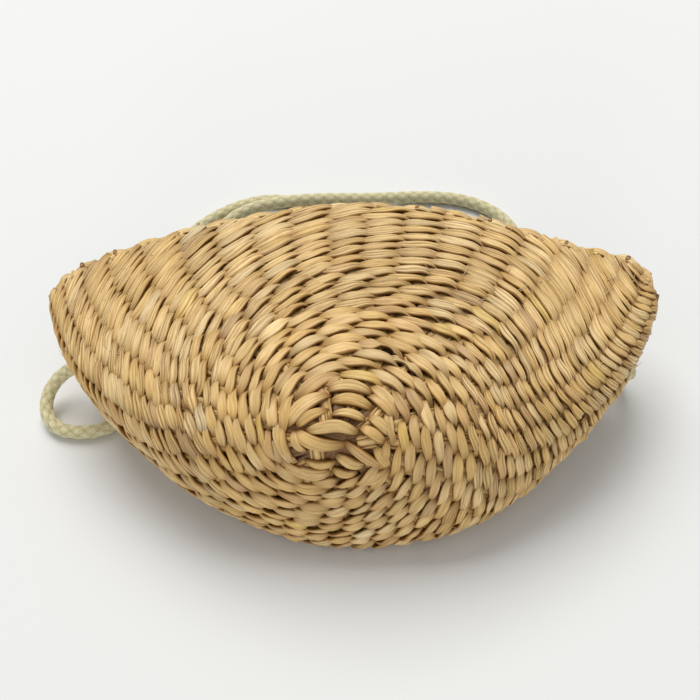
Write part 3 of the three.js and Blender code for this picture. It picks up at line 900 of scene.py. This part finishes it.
def braid_height(angle, travelled):
    """Height of a round braid from 0 to 1: two sets of strands wind opposite ways, the cells where they
    cross belong to one set or the other in turn, and each cell is a rounded pad along its own strand."""
    one = BRAID_STRANDS * angle / (2 * np.pi) + travelled / BRAID_LAY
    other = BRAID_STRANDS * angle / (2 * np.pi) - travelled / BRAID_LAY
    first = (np.floor(one) + np.floor(other)) % 2 == 0
    near = np.where(first, one % 1, other % 1) * 2 - 1
    along = np.where(first, other % 1, one % 1) * 2 - 1
    return np.sqrt(np.clip(1 - near**2, 0, 1)) * (1 - BRAID_DIP * along**2)


def cord_tube(path, radius, around):
    """Braided tube: rings of that radius round the path, with the braid's height as relief and as painted
    shade: its grooves are darkened and its crests keep the high shade."""
    across, upright = (vector[:, None, :] for vector in steady_frame(path))
    travelled = run_along(path)
    angle = np.linspace(0, 2 * np.pi, around, endpoint=False)
    height = braid_height(angle[None, :], travelled[:, None])
    reach = radius * (BRAID_CORE + BRAID_RELIEF * height)
    ring = across * np.cos(angle)[None, :, None] + upright * np.sin(angle)[None, :, None]
    vertices = path[:, None, :] + ring * reach[..., None]
    index = np.arange(len(path) * around).reshape(len(path), around)
    beside = np.roll(index, -1, axis=1)
    quads = np.stack([index[:-1], beside[:-1], beside[1:], index[1:]], -1).reshape(-1, 4)
    faces = quads.tolist() + [index[0][::-1].tolist(), index[-1].tolist()]
    lengthwise = np.repeat(travelled * PATTERN_SCALE, around)
    uvs = np.stack([lengthwise, np.tile(angle / (2 * np.pi), len(path))], -1)
    shades = braid_groove_shade + (braid_high - braid_groove_shade) * np.clip(height, 0, 1).reshape(-1, 1) ** 0.7
    return vertices.reshape(-1, 3), faces, uvs, shades


def cotton_material(name):
    """Soft braided cotton: the braid's own shade with a fine fuzz of threads as colour and bump."""
    material = bpy.data.materials.new(name)
    material.use_nodes = True
    nodes, links = material.node_tree.nodes, material.node_tree.links
    shader = nodes["Principled BSDF"]
    shader.inputs["Roughness"].default_value = 0.9
    shader.inputs["Specular IOR Level"].default_value = 0.15
    shader.inputs["Sheen Weight"].default_value = 0.2
    place = nodes.new("ShaderNodeTexCoord")
    fuzz = nodes.new("ShaderNodeTexNoise")
    fuzz.inputs["Scale"].default_value = 1400.0
    fuzz.inputs["Detail"].default_value = 2.0
    links.new(place.outputs["Object"], fuzz.inputs["Vector"])
    dark, light = (0.3, (0.78, 0.77, 0.72, 1)), (0.7, (1.05, 1.05, 1.03, 1))
    tint_by_shade(nodes, links, fuzz.outputs["Fac"], dark, light)
    raise_by(nodes, links, fuzz.outputs["Fac"], strength=0.4, depth=0.0003)
    return material


cotton = cotton_material("strap_cotton")
controls = np.vstack([leave_hole, strap_on_floor, (leave_hole * mirror)[::-1]]) + [0, FRAME_SHIFT, 0]
strap_path, strap_length = smooth_route(controls, CORD_RINGS)
strap = fill_mesh("strap_braid", *cord_tube(strap_path, CORD_DIAMETER / 2, CORD_SIDES))
strap.data.materials.append(cotton)
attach(strap, "root")
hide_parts("strap_cord")

# Stopper knots
# The ends of the same cord, tied in an overhand knot inside the bag so that they can't pull through.
# Each is a trefoil, its turns drawn close round the hole's axis.
KNOT_SIZE = 1.45
KNOT_DEPTH = 1.3
KNOT_CORD_RADIUS = 2.7
KNOT_RINGS = 121
KNOT_SIDES = 16
t = np.linspace(0, 2 * np.pi, KNOT_RINGS)
trefoil = np.stack(
    [np.sin(t) + 2 * np.sin(2 * t), np.cos(t) - 2 * np.cos(2 * t), -KNOT_DEPTH * np.sin(3 * t)], -1
)
for side, name in ((1, "left_strap_knot"), (-1, "right_strap_knot")):
    low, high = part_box(name)
    middle = (np.array(low) + np.array(high)) / 2 / MM
    axis = left_axis * [side, 1, 1]
    flat = np.cross(axis, [0, 0, 1])
    flat /= np.linalg.norm(flat)
    turned = np.stack([flat, np.cross(axis, flat), axis])
    knot_path = middle + KNOT_SIZE * trefoil @ turned
    knot = fill_mesh(f"{name}_cord", *cord_tube(knot_path, KNOT_CORD_RADIUS, KNOT_SIDES))
    knot.data.materials.append(cotton)
    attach(knot, "root")
    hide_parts(name)

# Floor
# A plain pale table, matt and wide enough to fill the view. It only carries the bag and its shadow.
FLOOR_REACH = 12
floor_corners = [(x * FLOOR_REACH, y * FLOOR_REACH, 0) for x, y in ((-1, -1), (1, -1), (1, 1), (-1, 1))]
floor_mesh = bpy.data.meshes.new("floor")
floor_mesh.from_pydata(floor_corners, [], [(0, 1, 2, 3)])
floor = bpy.data.objects.new("floor", floor_mesh)
bpy.context.scene.collection.objects.link(floor)
pale = bpy.data.materials.new("pale_table")
pale.use_nodes = True
pale.node_tree.nodes["Principled BSDF"].inputs["Base Color"].default_value = (0.78, 0.785, 0.775, 1)
pale.node_tree.nodes["Principled BSDF"].inputs["Roughness"].default_value = 0.7
floor_mesh.materials.append(pale)

# Light
# A wide soft lamp high above and behind, a little to the left, a weak small one low in front of the
# base, and an even pale room.
LAMP_TARGET = np.array([0, 0, 0.03])
LAMP_COLOUR = (1.0, 0.99, 0.97)
world = bpy.data.worlds.new("room")
world.use_nodes = True
world.node_tree.nodes["Background"].inputs["Color"].default_value = (0.97, 0.985, 1.0, 1)
world.node_tree.nodes["Background"].inputs["Strength"].default_value = 0.45
bpy.context.scene.world = world


def put_at(holder, right, up, facing, place):
    """Place an object in metres, with its x, y and z axes along right, up and away from what it faces."""
    stand = np.eye(4)
    stand[:3] = np.column_stack([right, up, -facing, place])
    holder.matrix_world = mathutils.Matrix(stand.tolist())


def soft_lamp(name, place, size, power):
    """Square area lamp at a place, facing the bag."""
    lamp = bpy.data.lights.new(name, "AREA")
    lamp.size = size
    lamp.energy = power
    lamp.color = LAMP_COLOUR
    holder = bpy.data.objects.new(name, lamp)
    bpy.context.scene.collection.objects.link(holder)
    facing = LAMP_TARGET - place
    facing /= np.linalg.norm(facing)
    side = np.cross(facing, [0, 0, 1])
    side /= np.linalg.norm(side)
    put_at(holder, side, np.cross(side, facing), facing, place)


soft_lamp("window", np.array([-0.6, 2.4, 4.0]), size=3.2, power=190)
soft_lamp("front_fill", np.array([-0.2, -2.6, 0.45]), size=0.8, power=13)

# Camera
# It stands in front of the bag and looks down on the woven base, as in the photograph. Its place, its
# turn and its focal length in pixels were fitted to the bag's outline there.
AZIMUTH = np.radians(-5.965)
ELEVATION = np.radians(53.712)
ROLL = np.radians(-4.301)
EYE = np.array([28.663, -261.63, 399.907])
FOCAL_PIXELS = 1093.394
PHOTO_PIXELS = 700
SENSOR_WIDTH = 36
ahead = np.array([np.sin(AZIMUTH), np.cos(AZIMUTH), 0])
facing = ahead * np.cos(ELEVATION) - [0, 0, np.sin(ELEVATION)]
level = np.array([np.cos(AZIMUTH), -np.sin(AZIMUTH), 0])
upright = np.cross(level, facing)
right = level * np.cos(ROLL) + upright * np.sin(ROLL)
up = -level * np.sin(ROLL) + upright * np.cos(ROLL)
lens = bpy.data.cameras.new("camera")
lens.sensor_width = SENSOR_WIDTH
lens.lens = SENSOR_WIDTH * FOCAL_PIXELS / PHOTO_PIXELS
lens.clip_start = 0.01
camera = bpy.data.objects.new("camera", lens)
bpy.context.scene.collection.objects.link(camera)
put_at(camera, right, up, facing, EYE * MM)
bpy.context.scene.camera = camera
bpy.context.scene.view_settings.view_transform = "Standard"
